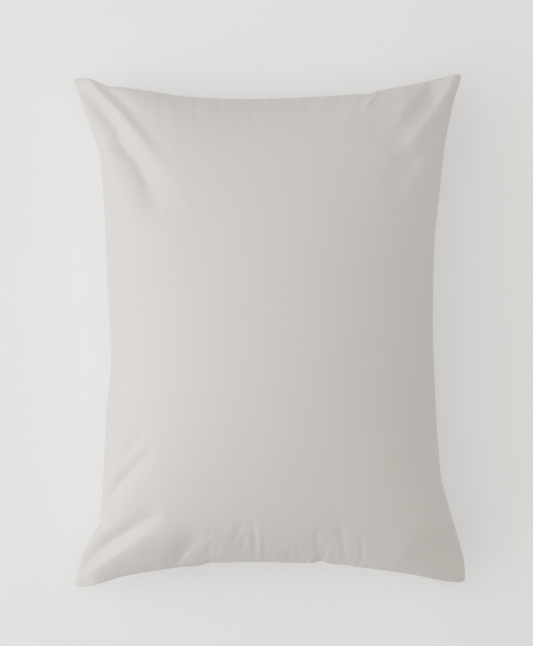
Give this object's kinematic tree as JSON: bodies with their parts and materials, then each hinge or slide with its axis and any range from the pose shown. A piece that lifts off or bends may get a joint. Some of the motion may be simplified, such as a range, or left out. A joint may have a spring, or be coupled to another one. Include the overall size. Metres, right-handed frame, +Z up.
{
  "type": "pillowcase",
  "caption": "Plain cotton pillowcase filled out by a plump bed pillow, lying on its back, with drawn-in sides and limp pointed corners.",
  "frame": {"origin": "under the middle of the case, on the surface that it lies on", "axes": "+Y along the length, from the bottom edge in the picture to the top one; +X to the right, as seen from above; +Z up, out of the front"},
  "size_m": [0.4978, 0.65, 0.1863],
  "materials": {
    "cotton": "washed plain-weave cotton in a warm light grey, matt with a faint soft sheen"
  },
  "bodies": {
    "root": {"pillowcase": "cotton"}
  },
  "joints": []
}
